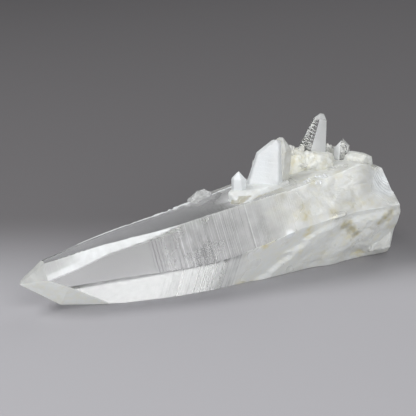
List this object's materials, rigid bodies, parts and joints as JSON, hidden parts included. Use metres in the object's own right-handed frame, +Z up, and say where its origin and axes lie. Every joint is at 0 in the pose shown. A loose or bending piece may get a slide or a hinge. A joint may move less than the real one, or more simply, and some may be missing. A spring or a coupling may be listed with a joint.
{
  "type": "quartz point cluster",
  "caption": "Long clear quartz point lying on a prism face, tapering to a faceted tip, with smaller milky and clear crystals standing on its back near a rough broken base",
  "frame": {"origin": "on the surface it rests on, under the middle of its bounding box", "axes": "+X runs from the faceted tip to the broken base, +Z is up from the face it rests on, +Y is away from the side with the milky crystals in front"},
  "size_m": [0.1752, 0.0544, 0.0642],
  "materials": {
    "quartz": "clear, with frosted and milky growth towards the base"
  },
  "bodies": {
    "root": {"quartz_cluster": "quartz"}
  },
  "joints": []
}
